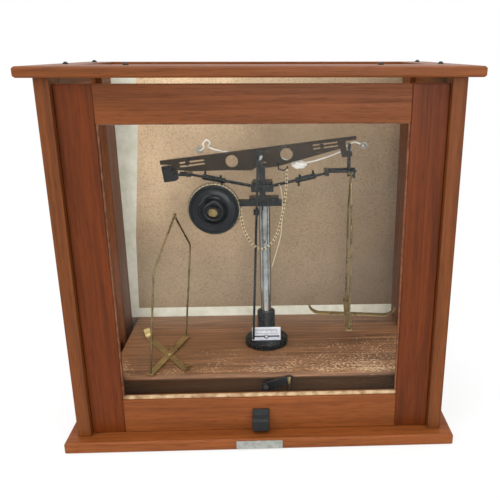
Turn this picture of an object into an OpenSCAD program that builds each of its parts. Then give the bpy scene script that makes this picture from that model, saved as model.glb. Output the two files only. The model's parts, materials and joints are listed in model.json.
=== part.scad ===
// Equal-arm beam balance with a chain wheel, in a glazed wooden case.
// Millimetres. X is the width, Y the depth (front is minus Y), Z is up.
// The origin is under the middle of the plinth, on the table.

/* [Case] */
// width over the corner posts
body_w = 420; // [400:1:440]
// depth over the corner posts
body_d = 225; // [215:1:240]
// height of the posts, from plinth to top board
body_h = 398; // [390:1:420]
// thickness of the plinth board
plinth_t = 14; // [10:0.5:20]
// how far the plinth stands out past the posts
plinth_over = 12.5; // [8:0.5:14]
// thickness of the top board
top_t = 10.5; // [8:0.5:16]
// how far the top board stands out past the posts
top_over = 13.5; // [13:0.5:20]
// width of each corner post seen from the front
post_w = 15; // [12:0.5:20]
// depth of the front posts
post_d = 30; // [26:1:36]
// depth of the rear posts
rear_post_d = 59; // [50:1:64]
// how far the rear posts reach in past the front ones
rear_post_in = 7; // [4:0.5:9]
// height of the side sills and side heads
side_rail_h = 40; // [34:1:46]
// thickness of the glass panes
glass_t = 2.5; // [2:0.1:4]
// height of the blank name plate
label_h = 10; // [8:0.5:10]
// width of the blank name plate
label_w = 52.7; // [40:0.5:70]

/* [Front sash] */
// thickness of the sash frame
sash_t = 14; // [12:0.5:16]
// how far the sash face lies behind the posts
sash_recess = 7.4; // [5:0.2:9]
// width of the sash stiles
stile_w = 37.5; // [30:0.5:42]
// height of the top rail of the sash
rail_top_h = 38; // [30:0.5:44]
// height of the bottom rail of the sash
rail_bottom_h = 41.6; // [34:0.2:43]
// height of the whole sash
sash_h = 391; // [385:1:395]
// free play round every moving piece
play = 0.3; // [0.3:0.05:0.5]
// width of the finger pull
pull_w = 19.3; // [14:0.1:26]

/* [Balance floor] */
// height of the inner floor above the plinth
floor_z = 56.4; // [52:0.2:60]
// thickness of the inner floor board
floor_t = 8; // [6:0.5:9]
// gap between the posts and the floor board's front edge
floor_back = 35; // [33:0.5:40]

/* [Column] */
// diameter of the black foot disc
foot_d = 56; // [48:1:64]
// thickness of the black foot disc
foot_t = 10; // [8:0.5:12]
// diameter of the black sleeve over the foot
sleeve_d = 23; // [18:0.5:28]
// height of the top of the black sleeve above the plinth
sleeve_top = 102; // [95:1:115]
// diameter of the nickel column
column_d = 14; // [11:0.5:16]
// height of the column above the plinth
column_top = 241.5; // [240:0.5:244]
// width of the graduated plate
scale_w = 36.5; // [30:0.5:44]
// height of the graduated plate
scale_h = 18; // [16:0.5:24]

/* [Beam] */
// length of the beam plate
beam_l = 236; // [230:1:240]
// thickness of the beam plate
beam_t = 4; // [3:0.25:5]
// tilt of the beam as found, right end up
beam_tilt = 6.87; // [6:0.01:6.9]
// diameter of the two round holes in the beam
beam_hole_d = 15; // [10:0.5:16]
// length of the pointer below its screw
pointer_l = 238; // [210:1:240]
// lean of the pointer as found
pointer_lean = 2.5; // [0:0.1:4]

/* [Chain wheel] */
// diameter of the chain wheel
wheel_d = 60; // [50:1:61]
// diameter of the slotted wheel screw
wheel_screw_d = 10.6; // [9.4:0.2:12]
// diameter of the wheel axle
axle_d = 6; // [4:0.5:8]
// thickness of the chain as a plain round cord
chain_d = 2.4; // [2:0.1:3]

/* [Hangers] */
// distance between the two legs of a bow
bow_w = 104; // [96:1:108]
// height of a bow from its feet to its top
bow_h = 181; // [176:1:184]
// height of the bends in the legs
knee_h = 134; // [110:1:140]
// diameter of the bow wire
wire_d = 2.4; // [1.8:0.1:3]
// width of the flat cross straps
strap_w = 8.5; // [6:0.5:10]
// thickness of the flat cross straps
strap_t = 1.2; // [0.8:0.1:1.6]
// length of the left cross strap between its bends
strap_l = 98; // [88:1:100]
// length of the right cross strap between its bends
right_strap_l = 84; // [76:1:98]
// height of the turned-up strap ends
strap_up = 11; // [8:0.5:14]

/* [Release handle] */
// length of the handle arm
handle_l = 30; // [24:1:33]
// diameter of the release shaft
shaft_d = 6; // [4:0.5:7]
// length of the brass grip pin
grip_l = 16; // [10:0.5:18]

/* [Hidden] */
$fn = 48;

// case planes
front_y = -body_d / 2;
back_y = body_d / 2;
deck_z = plinth_t;
lid_z = deck_z + body_h;
in_x = body_w / 2 - post_w;
rear_in_x = in_x - rear_post_in;
rear_post_y = back_y - rear_post_d;
panel_y = back_y - 15;
panel_t = 5;
sash_y = front_y + sash_recess;
sash_back = sash_y + sash_t;
sash_x = in_x - play;
glass_x = sash_x - stile_w;
sash_z = deck_z + play;
sash_glass_y = sash_y + 6;
floor_top = deck_z + floor_z;
floor_under = floor_top - floor_t;
floor_y = front_y + floor_back;
floor_left = -178;
floor_right = rear_in_x;

// balance
bal_x = 6.5;
bal_y = 10;
foot_top = floor_top + foot_t;
column_z = deck_z + column_top;
bar_h = 7;
bar_d = 10;
bar_left = -60;
bar_right = 26;
plate_z = column_z + bar_h;
plate_t = 4;
pillar_x = 4.6;
pillar_w = 7.4;
pillar_d = 18;
pillar_z = plate_z + plate_t;
agate_t = 3;
knife_x = 2.7;
knife_z = pillar_z + 45.1;
knife_h = 6;
fork_gap = 6.4;
fork_z = pillar_z + 29.5;
pillar_top = knife_z - play - agate_t;

// beam outline, measured along and up from the middle of its top edge
edge_u = 1;
edge_v = -14;
bh = beam_l / 2;
hole_u = 33;
hole_v = -11.3;
left_line = [[-bh, 0], [-bh, -4.6], [-bh + 13, -6.4], [-bh + 13, -11], [-97, -14.1], [-81.7, -17.1],
  [-42.4, -20.9], [-10.8, -25.2], [-4.5, -21.9], [7.2, -24.2], [19.2, -24.5]];
right_line = [[36.6, -21.9], [97.9, -12.6], [99, -23.5], [111.5, -23.5], [111.5, -16.3], [105, -16.3],
  [105, -4.4], [bh, -4.4], [bh, 0]];
end_u = 109;
end_v = -11.3;
tip = beam_point(end_u, end_v);

// arrest
hub_w = 27;
hub_d = 24;
hub_h = 11.5;
hub_z = pillar_z + 8;
arm_z = hub_z + hub_h - 4;
fork_x = 80;
rest_x = -88;
rest_z = beam_low(rest_x) - 1.4 - play;
arm_r = 2;
right_reach = 38;
right_spread = 7.8;
right_rise = 3;

// pointer
stud = beam_point(0, -3.5);
stud_r = 2;
pointer_y = -5.4;
pointer_t = 1.2;
pointer_fall = 1.3;

// wheel
wheel_x = -53;
wheel_z = column_z + 0.5;
wheel_r = wheel_d / 2;
wheel_y = -14.5;
drum_r = wheel_r - 2;
cord_r = chain_d / 2;
boss_r = 9;
hub_hole_r = 8.4;
screw_out = 14;
slot_turn = 50;
shank_r = 4;

// hangers
hang_x = tip[0];
pin_drop = 35.5;
hang_z = tip[1] - pin_drop;
hang_pin_r = 1;
ring_r = 3.6;
wire_r = wire_d / 2;
left_x = -115.5;
left_y = -25;
left_turn = -16;
left_lean = 6;
left_strap_turn = -40;
left_strap_shift = -7;
ring_x = hang_x + 3;
right_turn = -4.6;
right_strap_turn = -3;
right_strap_shift = 5;
bend_a = 75;

// release
shaft_x = 6;
shaft_z = floor_under - shaft_d / 2 - 1.4;
handle_y = floor_y - 6.5;
handle_up = 20;
handle_t = 4;
hand_x = shaft_x + handle_l * cos(handle_up);
hand_z = shaft_z + handle_l * sin(handle_up);

// hand-chosen courses for the chain, the tie cord and the loose thread
chain_way = [[wheel_x + drum_r + chain_d + cord_r + play, -10, wheel_z + 3],
  [-21.6, -10.5, 249], [-17.5, -11, 229], [-10.5, -11.5, 215.5],
  [-4, -11.2, 208.5], [3, -10.5, 205.6], [12.5, -8, 210], [22.5, -4, 224], [29.5, 0, 252], [33.5, 4, 279],
  [34.6, 5.6, 300.5]];
tie_left = [[-68, 10, 323], [-64, 10, 327], [-65, 10, 331], [-61, 10, 335.5], [-57, 11, 332], [-58, 13, 326],
  [-34, 14.5, 320], [0, 14.5, 322], [30, 14.5, 312], [44, 14, 306]];
tie_right = [[52, 13, 306], [72, 14, 310], [98, 15, 319], [104, 16.2, 324], [113, 16.2, 330], [119, 12, 331],
  [126, 8, 328]];
thread_way = [[25, 7.6, 281.5], [27, 4.4, 278], [28.6, 3.5, 263], [27.6, 3, 229], [24.8, 3, 212],
  [18.5, 3, 190], [15, 3, 178]];

plinth();
name_plate();
post_front_left();
post_front_right();
post_rear_left();
post_rear_right();
side_sill_left();
side_sill_right();
side_head_left();
side_head_right();
side_glass_left();
side_glass_right();
back_panel();
back_tape();
top_strip();
top_frame();
top_glass();
top_screws();
floor_board();
floor_bearers();
sash_stile_left();
sash_stile_right();
sash_rail_top();
sash_rail_bottom();
sash_glass();
sash_bead();
sash_pull();
foot_disc();
sleeve();
column();
scale_plate();
cross_bar();
pillar_head();
agate_planes();
wheel_axle();
arrest_hub();
arrest_arm_left();
arrest_arm_right();
release_shaft();
handle_arm();
handle_pin();
beam();
beam_knife();
beam_end_left();
beam_end_right();
chain_hook();
pointer();
pointer_screw();
chain_wheel();
wheel_screw();
wound_chain();
free_chain();
right_stirrup();
right_bow();
right_cross();
left_bow();
left_cross();
tie_cord();
tie_wrap();
loose_thread();

// where a point of the beam drawing lies in the case, as x and z
function beam_point(u, v) = [
  knife_x + (u - edge_u) * cos(beam_tilt) - (v - edge_v) * sin(beam_tilt),
  knife_z + (u - edge_u) * sin(beam_tilt) + (v - edge_v) * cos(beam_tilt)];
// height of the lower edge of the left arm at a given x, as found
function beam_low(x) = beam_point(x / cos(beam_tilt), -16.6)[1];

module box_between(a, b) {
  translate(a)
    cube(b - a);
}

module rod(a, b, r, r2 = 0) {
  d = b - a;
  len = norm(d);
  translate(a)
    rotate([0, acos(d[2] / len), atan2(d[1], d[0])])
      cylinder(h = len, r1 = r, r2 = (r2 > 0) ? r2 : r, $fn = 32);
}

function unit(v) = v / norm(v);
function way_dir(p, i) =
  (i == 0) ? unit(p[1] - p[0]) :
  (i == len(p) - 1) ? unit(p[i] - p[i - 1]) :
  unit(unit(p[i] - p[i - 1]) + unit(p[i + 1] - p[i]));

// round cord or wire through a list of points; side is never along its course
module way(p, r, side = [0, 1, 0], n = 12) {
  m = len(p) - 1;
  rings = [for (i = [0 : m]) let (t = way_dir(p, i), u = unit(cross(t, side)), v = cross(u, t))
    for (k = [0 : n - 1]) p[i] + r * (cos(360 * k / n) * u + sin(360 * k / n) * v)];
  skin = [for (i = [0 : m - 1], k = [0 : n - 1]) let (a = i * n + k, b = i * n + (k + 1) % n)
    each [[a, b, b + n], [a, b + n, a + n]]];
  first = [for (k = [1 : n - 2]) [0, k + 1, k]];
  last = [for (k = [1 : n - 2]) [m * n, m * n + k, m * n + k + 1]];
  polyhedron(points = rings, faces = concat(skin, first, last), convexity = 6);
}

// disc or drum with its axis along Y, drawn from radius and depth pairs
module turned_y(x, y, z, line) {
  translate([x, y, z])
    rotate([-90, 0, 0])
      rotate_extrude($fn = 96)
        polygon(line);
}

module at_beam() {
  translate([knife_x, bal_y, knife_z])
    rotate([0, -beam_tilt, 0])
      translate([-edge_u, 0, -edge_v])
        children();
}

// flat shape in the plane of the beam, thickened each way
module slab(t) {
  translate([0, t / 2, 0])
    rotate([90, 0, 0])
      linear_extrude(t)
        children();
}

module board(w, d, t, c) {
  intersection() {
    rotate([90, 0, 90])
      linear_extrude(w, center = true)
        polygon([[-d / 2 + c, 0], [d / 2 - c, 0], [d / 2, c], [d / 2, t - c], [d / 2 - c, t],
          [-d / 2 + c, t], [-d / 2, t - c], [-d / 2, c]]);
    rotate([90, 0, 0])
      linear_extrude(d, center = true)
        polygon([[-w / 2 + c, 0], [w / 2 - c, 0], [w / 2, c], [w / 2, t - c], [w / 2 - c, t],
          [-w / 2 + c, t], [-w / 2, t - c], [-w / 2, c]]);
  }
}

module plinth() {
  color("#A86B45")
    board(body_w + 2 * plinth_over, body_d + 2 * plinth_over, plinth_t, 1.5);
}

module name_plate() {
  z = 1;
  y = front_y - plinth_over;
  color("#C9CDD2") {
    box_between([-1.7 - label_w / 2, y - 0.8, z + 1], [-1.7 + label_w / 2, y, z + 1 + label_h]);
    for (s = [-1, 1])
      translate([-1.7 + s * (label_w / 2 - 2.4), y, z + 1 + label_h / 2])
        rotate([90, 0, 0])
          cylinder(h = 1, d = 1.8);
  }
}

module post(x0, x1, y0, y1) {
  box_between([x0, y0, deck_z], [x1, y1, lid_z]);
}

module post_front_left() {
  color("#8A5638")
    post(-body_w / 2, -in_x, front_y, front_y + post_d);
}

module post_front_right() {
  color("#8A5638")
    post(in_x, body_w / 2, front_y, front_y + post_d);
}

module post_rear_left() {
  color("#8A5638")
    post(-body_w / 2, -rear_in_x, rear_post_y, back_y);
}

module post_rear_right() {
  color("#8A5638")
    post(rear_in_x, body_w / 2, rear_post_y, back_y);
}

module side_rail(side, z0) {
  x0 = (side < 0) ? -body_w / 2 : in_x;
  box_between([x0, front_y + post_d, z0], [x0 + post_w, rear_post_y, z0 + side_rail_h]);
}

module side_sill_left() {
  color("#7A4A30")
    side_rail(-1, deck_z);
}

module side_sill_right() {
  color("#7A4A30")
    side_rail(1, deck_z);
}

module side_head_left() {
  color("#7A4A30")
    side_rail(-1, lid_z - side_rail_h);
}

module side_head_right() {
  color("#7A4A30")
    side_rail(1, lid_z - side_rail_h);
}

module side_pane(side) {
  x0 = side * (in_x + post_w / 2) - glass_t / 2;
  box_between([x0, front_y + post_d, deck_z + side_rail_h], [x0 + glass_t, rear_post_y, lid_z - side_rail_h]);
}

module side_glass_left() {
  color("#C8D8D4", 0.3)
    side_pane(-1);
}

module side_glass_right() {
  color("#C8D8D4", 0.3)
    side_pane(1);
}

module back_panel() {
  color("#C8AE8E")
    box_between([-rear_in_x, panel_y, deck_z], [rear_in_x, panel_y + panel_t, lid_z]);
}

module back_tape() {
  band_z = floor_top + 14;
  low_z = band_z + 105.6;
  high_z = lid_z - 67;
  color("#D8D8BC")
    translate([0, panel_y, 0])
      rotate([90, 0, 0])
        linear_extrude(0.5)
          polygon([[-rear_in_x, floor_top], [rear_in_x, floor_top], [rear_in_x, band_z],
            [-rear_in_x + 11, band_z], [-rear_in_x + 15, low_z], [-rear_in_x + 30, high_z],
            [-rear_in_x + 32, lid_z], [-rear_in_x, lid_z]]);
}

slot_y = sash_y - play;
slot_back = sash_back + play;

module top_strip() {
  // the strip in front of the sash
  w = body_w + 2 * top_over;
  color("#94603C")
    intersection() {
      translate([0, 0, lid_z])
        board(w, body_d + 2 * top_over, top_t, 1.8);
      box_between([-w, -body_d, lid_z - 1], [w, slot_y, lid_z + top_t + 1]);
    }
}

open_y0 = front_y + 62;
open_y1 = back_y - 10;
open_x = rear_in_x - 2;

module top_frame() {
  w = body_w + 2 * top_over;
  color("#94603C")
    difference() {
      intersection() {
        translate([0, 0, lid_z])
          board(w, body_d + 2 * top_over, top_t, 1.8);
        box_between([-w, slot_y, lid_z - 1], [w, body_d, lid_z + top_t + 1]);
      }
      box_between([-in_x, slot_y - 1, lid_z - 1], [in_x, slot_back, lid_z + top_t + 1]);
      box_between([-open_x, open_y0, lid_z - 1], [open_x, open_y1, lid_z + top_t + 1]);
    }
}

module top_glass() {
  z = lid_z + 3;
  color("#C8D8D4", 0.3)
    box_between([-open_x, open_y0, z], [open_x, open_y1, z + glass_t]);
}

screw_in = 6;
screw_front = 86;
screw_back = 24;
mid_screw_in = 79.8;
mid_screw_fore = 20;

module top_screws() {
  color("#1B1D1F")
    for (s = [-1, 1], p = [[body_w / 2 - mid_screw_in, open_y0 - mid_screw_fore],
        [body_w / 2 - screw_in, front_y + screw_front],
        [body_w / 2 - screw_in, back_y - screw_back]])
      translate([s * p[0], p[1], lid_z + top_t]) {
        cylinder(h = 1.2, d = 6);
        translate([0, 0, 1.2])
          cylinder(h = 1.4, d1 = 5, d2 = 2.6);
      }
}

module floor_board() {
  r = floor_t / 2;
  color("#5A3A26") {
    box_between([floor_left, floor_y + r, floor_under], [floor_right, panel_y - 0.5, floor_top]);
    translate([floor_left, floor_y + r, floor_under + r])
      rotate([0, 90, 0])
        cylinder(h = floor_right - floor_left, r = r);
  }
}

apron_y = floor_y + 8;

module floor_bearers() {
  color("#2A1C14")
    difference() {
      union() {
        box_between([floor_left, apron_y, deck_z], [floor_right, apron_y + 9, floor_under]);
        box_between([floor_left, panel_y - 20, deck_z], [floor_right, panel_y - 8, floor_under]);
      }
      translate([shaft_x, apron_y - 1, shaft_z])
        rotate([-90, 0, 0])
          cylinder(h = 20, d = shaft_d + 2 * play);
    }
}

module stile(side) {
  x0 = (side < 0) ? -sash_x : glass_x;
  box_between([x0, sash_y, sash_z], [x0 + stile_w, sash_back, sash_z + sash_h]);
}

module sash_stile_left() {
  color("#7A3A1C")
    stile(-1);
}

module sash_stile_right() {
  color("#7A3A1C")
    stile(1);
}

module sash_rail_top() {
  color("#94603C")
    box_between([-glass_x, sash_y, sash_z + sash_h - rail_top_h], [glass_x, sash_back, sash_z + sash_h]);
}

module sash_rail_bottom() {
  color("#9C5A36")
    box_between([-glass_x, sash_y, sash_z], [glass_x, sash_back, sash_z + rail_bottom_h]);
}

module sash_glass() {
  color("#C8D8D4", 0.2)
    box_between([-glass_x, sash_glass_y, sash_z + rail_bottom_h],
      [glass_x, sash_glass_y + glass_t, sash_z + sash_h - rail_top_h]);
}

module sash_bead() {
  b = 3;
  thin = 1.2;
  low = 3.2;
  z0 = sash_z + rail_bottom_h;
  z1 = sash_z + sash_h - rail_top_h;
  color("#D8C09A")
    difference() {
      box_between([-glass_x, sash_glass_y - b, z0], [glass_x, sash_glass_y, z1]);
      box_between([-glass_x + thin, sash_glass_y - b - 1, z0 + low],
        [glass_x - thin, sash_glass_y + 1, z1 - thin]);
    }
}

module sash_pull() {
  z = deck_z + 3;
  color("#15181A")
    translate([-pull_w / 2, sash_y, 0])
      rotate([90, 0, 90])
        linear_extrude(pull_w)
          polygon([[0, z], [-9, z], [-12, z + 2], [-12.5, z + 15], [-11, z + 17], [-4, z + 19],
            [-2.5, z + 25], [0, z + 25]]);
}

module foot_disc() {
  r = foot_d / 2;
  color("#14181B")
    translate([bal_x, bal_y, floor_top])
      rotate_extrude($fn = 96)
        polygon([[0, 0], [r - 0.6, 0], [r, 0.6], [r, foot_t - 2.4], [r - 2.4, foot_t - 0.6], [r - 6, foot_t],
          [0, foot_t]]);
}

module sleeve() {
  r = sleeve_d / 2;
  h = sleeve_top - floor_z - foot_t;
  color("#181C20")
    translate([bal_x, bal_y, foot_top])
      rotate_extrude($fn = 96)
        polygon([[0, 0], [r + 2, 0], [r + 2, 2.5], [r + 1, 4], [r, 6], [r, h - 1], [r - 1, h], [0, h]]);
}

module column() {
  color("#A9ADB0")
    translate([bal_x, bal_y, deck_z + sleeve_top])
      cylinder(h = column_top - sleeve_top, d = column_d, $fn = 96);
}

scale_y = -6.2;

module scale_plate() {
  color("#D8DCE8")
    translate([bal_x, scale_y, foot_top]) {
      box_between([-scale_w / 2, 0, 0], [scale_w / 2, 1.5, scale_h]);
      box_between([-scale_w / 2 + 2, 0, 0], [scale_w / 2 - 2, 2.4, 1.4]);
      translate([0, 0, scale_h * 0.3])
        rotate([90, 0, 0])
          cylinder(h = 0.9, d = 3.4);
    }
}

module cross_bar() {
  color("#14181B") {
    box_between([bar_left, bal_y - bar_d / 2, column_z], [bar_right, bal_y + bar_d / 2, plate_z]);
    translate([wheel_x, -5.6, wheel_z])
      rotate([-90, 0, 0])
        cylinder(h = bal_y + bar_d / 2 + 5.6, r = boss_r, $fn = 64);
    // rounded right end
    translate([bar_right, bal_y, column_z])
      cylinder(h = bar_h, d = bar_d);
  }
}

module pillar_head() {
  y0 = bal_y - pillar_d / 2;
  color("#14181B") {
    box_between([bal_x - 18, bal_y - 9, plate_z], [bal_x + 18, bal_y + 9, pillar_z]);
    difference() {
      box_between([pillar_x - pillar_w / 2, y0, pillar_z],
        [pillar_x + pillar_w / 2, y0 + pillar_d, pillar_top]);
      box_between([pillar_x - pillar_w, bal_y - fork_gap / 2, fork_z],
        [pillar_x + pillar_w, bal_y + fork_gap / 2, pillar_top + 1]);
    }
  }
}

module agate_planes() {
  w = (pillar_d - fork_gap) / 2;
  color("#D8C6A8")
    for (y = [bal_y - pillar_d / 2, bal_y + fork_gap / 2])
      box_between([pillar_x - pillar_w / 2 - 1, y, pillar_top],
        [pillar_x + pillar_w / 2 + 1, y + w, pillar_top + agate_t]);
}

module wheel_axle() {
  color("#8A8E92")
    translate([wheel_x, wheel_y + 5, wheel_z])
      rotate([-90, 0, 0])
        cylinder(h = -5.6 - wheel_y - 5, d = axle_d);
}

module arrest_hub() {
  color("#14181B")
    difference() {
      union() {
        box_between([pillar_x - hub_w / 2, bal_y - hub_d / 2, hub_z],
          [pillar_x + hub_w / 2, bal_y + hub_d / 2, hub_z + hub_h - 2.5]);
        box_between([pillar_x - hub_w / 2 + 1.5, bal_y - hub_d / 2 + 1.5, hub_z],
          [pillar_x + hub_w / 2 - 1.5, bal_y + hub_d / 2 - 1.5, hub_z + hub_h]);
      }
      box_between([pillar_x - pillar_w / 2 - play, bal_y - pillar_d / 2 - play, hub_z - 1],
        [pillar_x + pillar_w / 2 + play, bal_y + pillar_d / 2 + play, hub_z + hub_h + 1]);
    }
}

// one arm of the arrest, pointing left or right
module arrest_arm(side) {
  a = [pillar_x + side * hub_w / 2, bal_y, arm_z - 2];
  b = [side * (fork_x + 2), bal_y, rest_z - 2];
  m1 = a + (b - a) * 0.42;
  m2 = a + (b - a) * 0.8;
  rod(a, b, arm_r, 1.5);
  rod(m1, m2, 3.4);
  // small upright and hanging pins
  rod(m2 - (b - a) * 0.05, m2 - (b - a) * 0.05 + [0, 0, 7.5], 1.3);
  rod(m1 + (b - a) * 0.08, m1 + (b - a) * 0.08 + [0, 0, 6], 1.5);
  rod(m1 + (b - a) * 0.06 + [0, 0, -8], m1 + (b - a) * 0.06, 1.3);
}

// yoke at the end of an arm, with two prongs either side of the beam
module fork(side, reach, spread, rise = 0) {
  x = side * fork_x;
  box_between([min(x, x + side * 5), bal_y - spread - 2, rest_z - 3.6],
    [max(x, x + side * 5), bal_y + spread + 2, rest_z + 0.2 + rise]);
  for (s = [-1, 1])
    rod([x + side * 3, bal_y + s * spread, rest_z - 1.7 + rise],
      [x + side * reach, bal_y + s * spread, rest_z - 1.2 + rise], 1.6);
}

module arrest_arm_left() {
  color("#14181B") {
    arrest_arm(-1);
    fork(-1, 15, 6);
    // rest bar between the prongs
    box_between([rest_x - 1.2, bal_y - 6, rest_z - 1.6], [rest_x + 1.2, bal_y + 6, rest_z + 1.4]);
  }
}

module arrest_arm_right() {
  color("#14181B") {
    arrest_arm(1);
    fork(1, right_reach, right_spread, right_rise);
    // stop pin across the front prong
    box_between([fork_x + right_reach - 3.6, bal_y - right_spread - 1.1, rest_z - 7],
      [fork_x + right_reach - 1.4, bal_y - right_spread + 1.1, rest_z + 6]);
  }
}

module release_shaft() {
  color("#6E7276")
    translate([shaft_x, handle_y - 3, shaft_z])
      rotate([-90, 0, 0]) {
        cylinder(h = bal_y + 12 - handle_y, d = shaft_d);
        translate([0, 0, bal_y - handle_y - 3])
          translate([0, 0.8, 0])
            cylinder(h = 8, d = shaft_d + 3.4);
      }
}

module handle_arm() {
  w = 7;
  color("#14181B")
    difference() {
      translate([0, handle_y, 0])
        slab(handle_t)
          polygon([[shaft_x - 5, shaft_z - 4], [shaft_x + 4, shaft_z - 5.4], [hand_x + 3, hand_z - w / 2],
            [hand_x + 4, hand_z + w / 2 - 1], [hand_x - 1, hand_z + w / 2], [shaft_x - 1, shaft_z + 5.4],
            [shaft_x - 5, shaft_z + 4]]);
      translate([shaft_x, handle_y - 10, shaft_z])
        rotate([-90, 0, 0])
          cylinder(h = 20, d = shaft_d);
    }
}

module handle_pin() {
  a = [hand_x - 0.5, handle_y - handle_t / 2 - 0.6, hand_z + 1.5];
  color("#B5A66C")
    difference() {
      rod(a + [0, 0, 2], a + [0, -1.1, 2 - grip_l], 2.4);
      box_between([hand_x - 9, handle_y - handle_t / 2, hand_z - 30],
        [hand_x + 9, handle_y + 9, hand_z + 30]);
    }
}

module knife_shape() {
  polygon([[edge_u, edge_v], [edge_u + 3.4, edge_v + knife_h - 2], [edge_u + 3.4, edge_v + knife_h],
    [edge_u - 3.4, edge_v + knife_h], [edge_u - 3.4, edge_v + knife_h - 2]]);
}

module slot_shape(u0, u1, v) {
  hull_r = 1.2;
  translate([u0, v - hull_r])
    square([u1 - u0, 2 * hull_r]);
  for (u = [u0, u1])
    translate([u, v])
      circle(r = hull_r, $fn = 24);
}

module beam() {
  color("#4A3C2E")
    at_beam()
      difference() {
        union() {
          slab(beam_t)
            polygon(concat(left_line, right_line));
          // round pads across the slots
          for (u = [-86, 76])
            translate([u, beam_t / 2 + 0.8, -7])
              rotate([90, 0, 0])
                cylinder(h = beam_t + 1.6, r = 2.8);
        }
        slab(beam_t + 10)
          for (s = [-1, 1])
            translate([s * hole_u, hole_v])
              circle(d = beam_hole_d, $fn = 64);
        slab(beam_t + 0.02)
          difference() {
            for (v = [-4.9, -9.1], s = [-1, 1])
              slot_shape(s * 80.5 - 14, s * 80.5 + 14, (s < 0) ? v - 0.9 : v);
            for (u = [-86, 76])
              translate([u, -7])
                circle(r = 2.8);
          }
        slab(beam_t + 10)
          knife_shape();
      }
}

module beam_knife() {
  color("#8F8A80")
    at_beam()
      slab(pillar_d - 0.6)
        knife_shape();
}

module beam_end_left() {
  color("#101315")
    at_beam()
      slab(8.4)
        polygon([[-bh + 1, -7], [-bh + 13, -7], [-bh + 13, -11], [-bh + 18.5, -12.5], [-bh + 18.5, -24],
          [-bh + 14, -26], [-bh + 1, -26]]);
}

module beam_end_right() {
  color("#8F8A80")
    at_beam()
      slab(6)
        polygon([[end_u - 2.4, -16.3], [end_u + 2.4, -16.3], [end_u + 2, -14.2], [end_u, end_v],
          [end_u - 2, -14.2]]);
}

hook_y = bal_y - beam_t / 2 - 1;

module chain_hook() {
  color("#101315")
    way([[23.5, hook_y, knife_z - 3], [24.5, hook_y, knife_z - 11], [30.5, hook_y, knife_z - 12.5],
      [34.6, hook_y, knife_z - 10.5], [35.4, hook_y, knife_z - 7.5]], 1);
}

module pointer() {
  r = 4;
  color("#1E1A16")
    translate([stud[0], pointer_y, stud[1]])
      rotate([-pointer_fall, pointer_lean, 0]) {
        difference() {
          union() {
            translate([0, 0, -pointer_l / 2])
              cube([3, pointer_t, pointer_l], center = true);
            translate([0, pointer_t / 2, 0])
              rotate([90, 0, 0])
                cylinder(h = pointer_t, r = r);
          }
          translate([0, 5, 0])
            rotate([90 + pointer_fall, 0, 0])
              cylinder(h = 10, r = stud_r + play);
        }
        translate([0, 0, -pointer_l])
          cube([1, pointer_t, 6], center = true);
        // sensitivity bob
        translate([0, 0, -74])
          cylinder(h = 6.4, r = 3.9);
      }
}

head_y = pointer_y - pointer_t / 2 - play - 2;

module pointer_screw() {
  color("#C9CDD2") {
    difference() {
      translate([stud[0], pointer_y - pointer_t / 2 - play, stud[1]])
        rotate([90, 0, 0])
          cylinder(h = 2, d = 6.4);
      box_between([stud[0] - 5, head_y - 1, stud[1] - 0.4], [stud[0] + 5, head_y + 0.8, stud[1] + 0.4]);
    }
    translate([stud[0], pointer_y - pointer_t / 2 - play - 1, stud[1]])
      rotate([-90, 0, 0])
        cylinder(h = bal_y - beam_t / 2 - pointer_y + pointer_t / 2 + play + 1, r = stud_r);
  }
}

module chain_wheel() {
  // a bell-shaped hub with a deep hole for the screw, then a thin disc with a grooved rim
  r = wheel_r;
  b = axle_d / 2 + play;
  color("#1B242E")
    turned_y(wheel_x, wheel_y, wheel_z, [[0, -3], [hub_hole_r, -3], [hub_hole_r, -9], [10.2, -9.6],
      [12, -8.6], [13.2, -6], [14.6, -2.6], [16.6, 0.2], [19.4, 1.6], [r - 4, 1.8], [r - 2.6, 0.3],
      [r - 0.6, 0.3], [r, 0.9], [r, 2.2], [drum_r, 2.4], [drum_r, 7.4],
      [r - 0.4, 7.4], [r - 0.4, 8.4],
      [b, 8.4], [b, 4.7], [0, 4.7]]);
}

module wheel_screw() {
  r = wheel_screw_d / 2;
  color("#B5A66C")
    difference() {
      turned_y(wheel_x, wheel_y - screw_out, wheel_z, [[0, 0], [r - 0.8, 0], [r, 0.8], [r, 5.2],
        [r - 0.8, 6], [shank_r, 6], [shank_r, screw_out + 3], [0, screw_out + 3]]);
      translate([wheel_x, 0, wheel_z])
        rotate([0, slot_turn, 0])
          box_between([-r - 1, wheel_y - screw_out - 1, -0.8], [r + 1, wheel_y - screw_out + 1.6, 0.8]);
    }
}

module wound_chain() {
  color("#C9B56A")
    for (s = [3.65, 6.1])
      translate([wheel_x, wheel_y + s, wheel_z])
        rotate([-90, 0, 0])
          rotate_extrude($fn = 96)
            translate([drum_r + cord_r, 0])
              circle(r = cord_r, $fn = 24);
}

module free_chain() {
  color("#C9B56A")
    way(chain_way, cord_r);
}

module right_stirrup() {
  x0 = hang_x - 1.5;
  x1 = hang_x + 1.5;
  z1 = tip[1] + play;
  y = 4.6;
  z0 = hang_z + ring_r + 2.6;
  color("#2A2622") {
    // bearing block over the end knife, two side plates and a lower bridge
    box_between([x0, bal_y - y, z1], [x1, bal_y + y, z1 + 3]);
    for (s = [-1, 1])
      box_between([x0, bal_y + s * (y - 0.6) - 0.6, z0], [x1, bal_y + s * (y - 0.6) + 0.6, z1 + 3]);
    box_between([x0, bal_y - y, z0 - 2], [x1, bal_y + y, z0]);
    box_between([x0, bal_y - 1.6, hang_z - 1.6], [x0 + 1, bal_y + 1.6, z0]);
    rod([x0, bal_y, hang_z], [ring_x + 2.2, bal_y, hang_z], hang_pin_r);
    rod([ring_x + 1.8, bal_y, hang_z], [ring_x + 2.8, bal_y, hang_z], hang_pin_r + 0.9);
  }
}

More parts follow.
